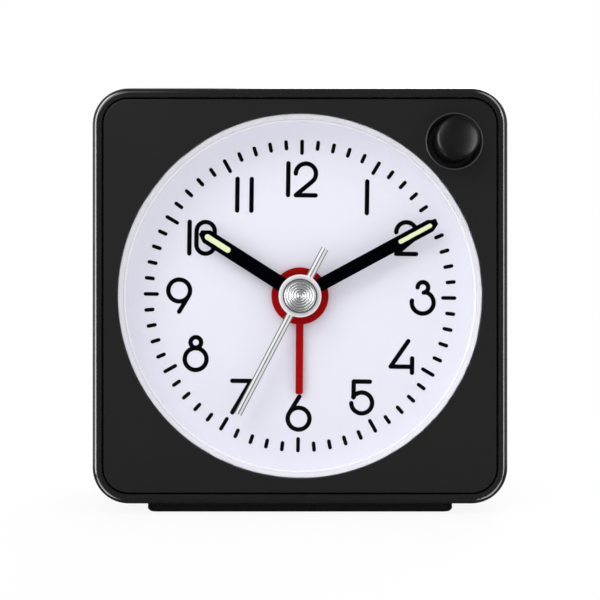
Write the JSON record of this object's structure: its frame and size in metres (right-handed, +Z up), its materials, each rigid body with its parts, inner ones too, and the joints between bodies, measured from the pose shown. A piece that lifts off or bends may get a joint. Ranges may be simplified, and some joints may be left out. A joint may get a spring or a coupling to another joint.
{
  "type": "alarm clock",
  "caption": "Square travel alarm clock with a round glazed dial, hour, minute, second and alarm hands on a geared quartz movement, a corner snooze button and rear setting knobs.",
  "frame": {"origin": "middle of the foot's underside, on the surface the clock stands on", "axes": "+X to the right of the dial, +Y from the dial to the back, +Z up"},
  "size_m": [0.0574, 0.0382, 0.0587],
  "materials": {
    "case_plastic": "black moulded plastic, fine satin",
    "foot_rubber": "black rubber, matte",
    "lens_clear": "clear, polished",
    "ring_white": "white, satin",
    "dial_white": "white print card, matte",
    "hand_black": "black paint, matte",
    "hand_red": "red paint, satin",
    "hand_silver": "polished",
    "cap_spun": "spun rings",
    "lume": "pale green luminous paint",
    "plate_plastic": "grey moulded plastic",
    "gear_plastic": "natural acetal",
    "knob_plastic": "black moulded plastic",
    "button_plastic": "black plastic, soft gloss",
    "steel": "plated steel",
    "silicon_steel": "bare lamination",
    "magnet": "sintered magnet",
    "copper": "enamelled copper wire",
    "board": "green circuit board",
    "chip": "black moulding",
    "switch_plastic": "black switch body",
    "buzzer_brass": "brass sheet",
    "ceramic": "fired ceramic with silvering",
    "cell": "plain sleeve over a metal can"
  },
  "bodies": {
    "case": {"case_shell": "case_plastic", "base_foot": "foot_rubber", "front_bezel": "case_plastic", "lens": "lens_clear", "dial_ring": "ring_white", "dial": "dial_white", "rear_cover": "case_plastic", "cover_screws": "steel", "snooze_switch": "switch_plastic", "movement_plate": "plate_plastic", "movement_bridge": "plate_plastic", "plate_screws": "steel", "movement_screws": "steel", "stator": "silicon_steel", "coil_core": "silicon_steel", "coil_bobbin": "switch_plastic", "coil_winding": "copper", "circuit_board": "board", "control_chip": "chip", "quartz_crystal": "steel", "alarm_switch_body": "switch_plastic", "buzzer_disc": "buzzer_brass", "buzzer_ceramic": "ceramic", "battery": "cell", "battery_contact_positive": "steel", "battery_contact_negative": "steel"},
    "minute_group": {"cannon_pinion": "gear_plastic", "minute_hand": "hand_black", "minute_hand_lume": "lume"},
    "time_setting": {"minute_wheel": "gear_plastic", "time_set_knob": "knob_plastic"},
    "hour_group": {"hour_wheel": "gear_plastic", "hour_hand": "hand_black", "hour_hand_lume": "lume"},
    "seconds_group": {"seconds_wheel": "gear_plastic", "second_hand": "hand_silver", "second_hand_cap": "cap_spun"},
    "third_group": {"third_wheel": "gear_plastic"},
    "centre_group": {"centre_wheel": "gear_plastic"},
    "intermediate_group": {"intermediate_wheel": "gear_plastic"},
    "rotor_group": {"rotor_pinion": "gear_plastic", "rotor_magnet": "magnet"},
    "alarm_group": {"alarm_wheel": "gear_plastic", "alarm_hand": "hand_red"},
    "alarm_setting": {"alarm_set_pinion": "gear_plastic", "alarm_set_knob": "knob_plastic"},
    "snooze_group": {"snooze_button": "button_plastic", "switch_plunger": "switch_plastic"},
    "slider_group": {"alarm_slider": "button_plastic"},
    "door_group": {"battery_door": "case_plastic"}
  },
  "joints": [
    {"name": "minute_spin", "type": "hinge", "parent": "case", "child": "minute_group", "pos_m": [0, 0, 0.03008], "axis": [0, 1, 0], "continuous": true},
    {"name": "time_set_spin", "type": "hinge", "parent": "case", "child": "time_setting", "pos_m": [0.00675, 0, 0.03397], "axis": [0, 1, 0], "continuous": true},
    {"name": "hour_spin", "type": "hinge", "parent": "case", "child": "hour_group", "pos_m": [0, 0, 0.03008], "axis": [0, 1, 0], "continuous": true},
    {"name": "second_spin", "type": "hinge", "parent": "case", "child": "seconds_group", "pos_m": [0, 0, 0.03008], "axis": [0, 1, 0], "continuous": true},
    {"name": "third_spin", "type": "hinge", "parent": "case", "child": "third_group", "pos_m": [0.00509, 0, 0.02498], "axis": [0, 1, 0], "continuous": true},
    {"name": "centre_spin", "type": "hinge", "parent": "case", "child": "centre_group", "pos_m": [0, 0, 0.03008], "axis": [0, 1, 0], "continuous": true},
    {"name": "intermediate_spin", "type": "hinge", "parent": "case", "child": "intermediate_group", "pos_m": [0, 0, 0.03728], "axis": [0, 1, 0], "continuous": true},
    {"name": "rotor_spin", "type": "hinge", "parent": "case", "child": "rotor_group", "pos_m": [0, 0, 0.04118], "axis": [0, 1, 0], "continuous": true},
    {"name": "alarm_set_spin", "type": "hinge", "parent": "case", "child": "alarm_setting", "pos_m": [-0.00675, 0, 0.03397], "axis": [0, 1, 0], "continuous": true},
    {"name": "alarm_spin", "type": "hinge", "parent": "case", "child": "alarm_group", "pos_m": [0, 0, 0.03008], "axis": [0, 1, 0], "continuous": true},
    {"name": "snooze_press", "type": "slide", "parent": "case", "child": "snooze_group", "axis": [0, 1, 0], "range_m": [0, 0.0008], "stiffness_N_per_m": 800},
    {"name": "alarm_switch_slide", "type": "slide", "parent": "case", "child": "slider_group", "axis": [1, 0, 0], "range_m": [0, 0.0026]},
    {"name": "battery_door_hinge", "type": "hinge", "parent": "case", "child": "door_group", "pos_m": [0, 0.0153, 0.004], "axis": [-1, 0, 0], "range_deg": [0, 85]}
  ],
  "couplings": [
    {"joint": "time_set_spin", "follows": "minute_spin", "ratio": -0.33333},
    {"joint": "hour_spin", "follows": "minute_spin", "ratio": 0.083333},
    {"joint": "third_spin", "follows": "second_spin", "ratio": -0.13333},
    {"joint": "centre_spin", "follows": "second_spin", "ratio": 0.016667},
    {"joint": "intermediate_spin", "follows": "second_spin", "ratio": -7.5},
    {"joint": "rotor_spin", "follows": "second_spin", "ratio": 30},
    {"joint": "alarm_spin", "follows": "alarm_set_spin", "ratio": -0.42857}
  ]
}
